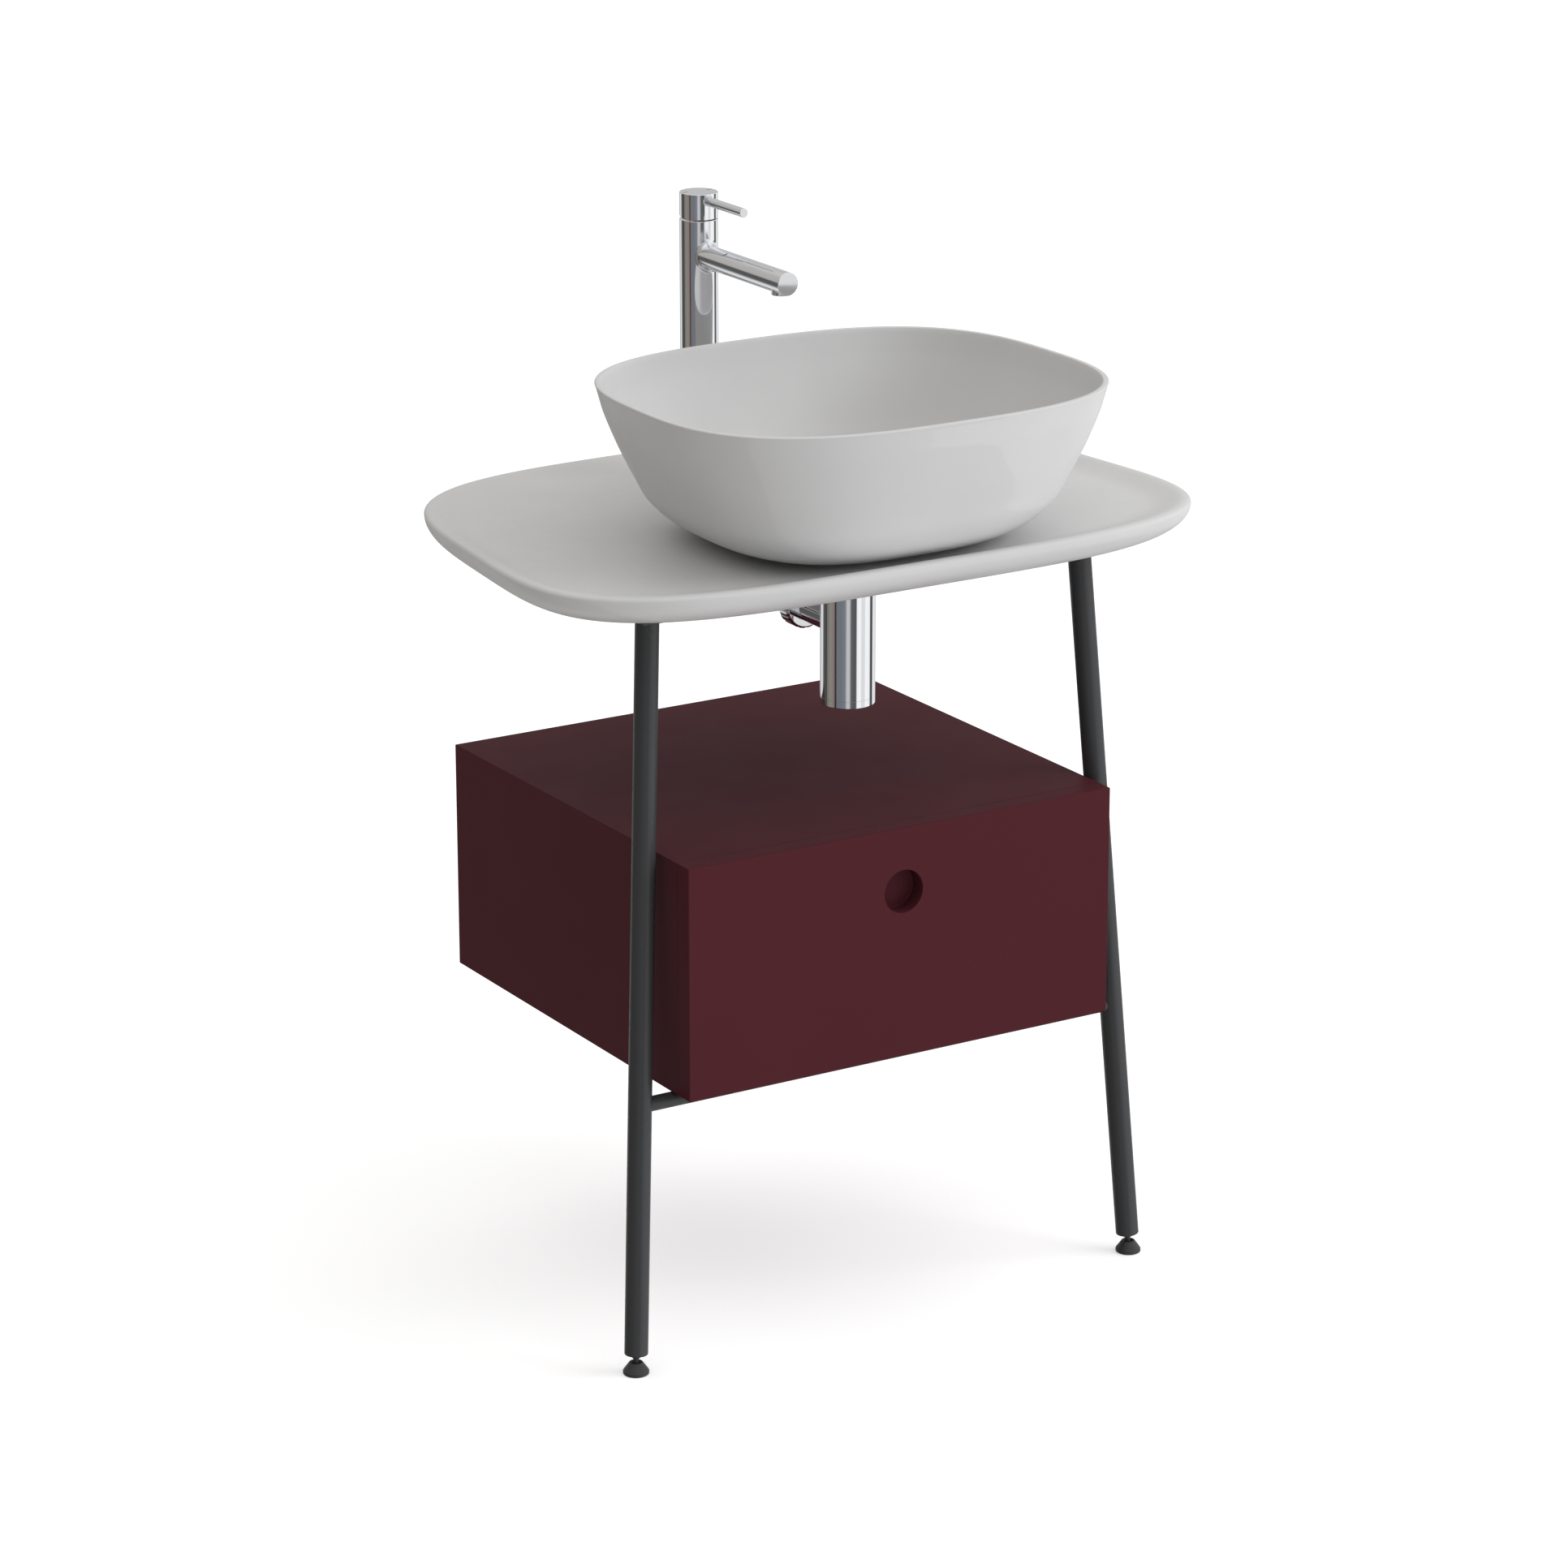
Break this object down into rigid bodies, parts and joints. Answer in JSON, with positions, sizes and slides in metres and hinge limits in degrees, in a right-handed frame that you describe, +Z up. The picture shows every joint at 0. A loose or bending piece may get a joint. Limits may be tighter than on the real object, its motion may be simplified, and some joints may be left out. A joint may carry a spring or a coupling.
{
  "type": "vessel sink on vanity",
  "caption": "Vessel bowl and tall single-lever mixer on a rimmed tray counter, carried by leaning tube legs and the wall, with a chrome bottle trap above a drawer box.",
  "frame": {"origin": "on the floor, below the middle of the bounding box", "axes": "+X across the width to the viewer's right, +Y from the front to the wall, +Z up"},
  "size_m": [0.787, 0.6032, 1.1493],
  "materials": {
    "ceramic": "matt white glaze",
    "lacquer": "burgundy matt lacquer on board",
    "powder_coat": "dark grey fine powder coat",
    "chrome": "polished chrome plate",
    "steel": "zinc-plated steel",
    "brass": "machined brass",
    "rubber": "black rubber",
    "plastic": "dark grey moulded plastic",
    "drawer_board": "anthracite melamine board",
    "red_enamel": "red enamel dot",
    "blue_enamel": "blue enamel dot"
  },
  "bodies": {
    "vanity": {"aerator": "chrome", "bowl": "ceramic", "bowl_seal": "rubber", "carcass_back": "drawer_board", "carcass_bottom": "lacquer", "carcass_left": "lacquer", "carcass_right": "lacquer", "carcass_top": "lacquer", "cartridge": "plastic", "cartridge_nut": "brass", "counter_top": "ceramic", "crossbar": "powder_coat", "dip_tube": "brass", "hangers": "steel", "horseshoe_plate": "steel", "left_leg": "powder_coat", "leg_inserts": "plastic", "mixer_base_plug": "brass", "mixer_body": "chrome", "mixer_spout": "chrome", "mounting_stud": "steel", "outlet_nut": "chrome", "rest_pads": "rubber", "right_leg": "powder_coat", "slide_outer_rails": "steel", "stud_nut": "steel", "supply_tubes": "brass", "top_rails": "powder_coat", "trap_body": "chrome", "trap_cup": "chrome", "trap_head": "brass", "wall_plates": "powder_coat", "wall_rail": "steel", "wall_rosette": "chrome", "waste_body": "chrome", "waste_nut": "brass", "waste_pipe": "chrome", "waste_washer": "rubber"},
    "drawer": {"drawer_front": "lacquer", "drawer_left": "drawer_board", "drawer_right": "drawer_board", "drawer_back": "drawer_board", "drawer_bottom": "drawer_board", "slide_inner_rails": "steel", "drawer_screws": "steel"},
    "slide_middle": {"slide_middle_rails": "steel"},
    "mixer_turn": {"cartridge_spindle": "brass"},
    "mixer_handle": {"handle_carrier": "brass", "handle_pivot": "steel", "handle_cap": "chrome", "lever_pin": "chrome", "grub_screw": "steel", "hot_mark": "red_enamel", "cold_mark": "blue_enamel"},
    "plug": {"waste_plug": "chrome", "plug_seal": "rubber"},
    "left_foot": {"left_foot_stem": "powder_coat"},
    "left_pad": {"left_foot_pad": "plastic"},
    "right_foot": {"right_foot_stem": "powder_coat"},
    "right_pad": {"right_foot_pad": "plastic"}
  },
  "joints": [
    {"name": "drawer_slide", "type": "slide", "parent": "vanity", "child": "drawer", "axis": [0, -1, 0], "range_m": [0, 0.38]},
    {"name": "slide_middle_travel", "type": "slide", "parent": "vanity", "child": "slide_middle", "axis": [0, -1, 0], "range_m": [0, 0.19]},
    {"name": "mixer_temperature", "type": "hinge", "parent": "vanity", "child": "mixer_turn", "pos_m": [0, 0.21395, 1.1273], "axis": [0, 0, 1], "range_deg": [-50, 50]},
    {"name": "mixer_lift", "type": "hinge", "parent": "mixer_turn", "child": "mixer_handle", "pos_m": [0, 0.21395, 1.1273], "axis": [-1, 0, 0], "range_deg": [0, 14]},
    {"name": "plug_push", "type": "slide", "parent": "vanity", "child": "plug", "axis": [0, 0, -1], "range_m": [0, 0.0062]},
    {"name": "left_foot_screw", "type": "slide", "parent": "vanity", "child": "left_foot", "axis": [-0.0615, -0.0612, -0.9962], "range_m": [-0.004, 0.012]},
    {"name": "left_pad_swivel", "type": "hinge", "parent": "left_foot", "child": "left_pad", "pos_m": [-0.31277, -0.17482, 0.007], "axis": [-0.7054, 0.7088, 0], "range_deg": [-8, 8]},
    {"name": "right_foot_screw", "type": "slide", "parent": "vanity", "child": "right_foot", "axis": [0.0615, -0.0612, -0.9962], "range_m": [-0.004, 0.012]},
    {"name": "right_pad_swivel", "type": "hinge", "parent": "right_foot", "child": "right_pad", "pos_m": [0.31277, -0.17482, 0.007], "axis": [0.7054, 0.7088, 0], "range_deg": [-8, 8]}
  ],
  "couplings": [
    {"joint": "slide_middle_travel", "follows": "drawer_slide", "ratio": 0.5}
  ]
}
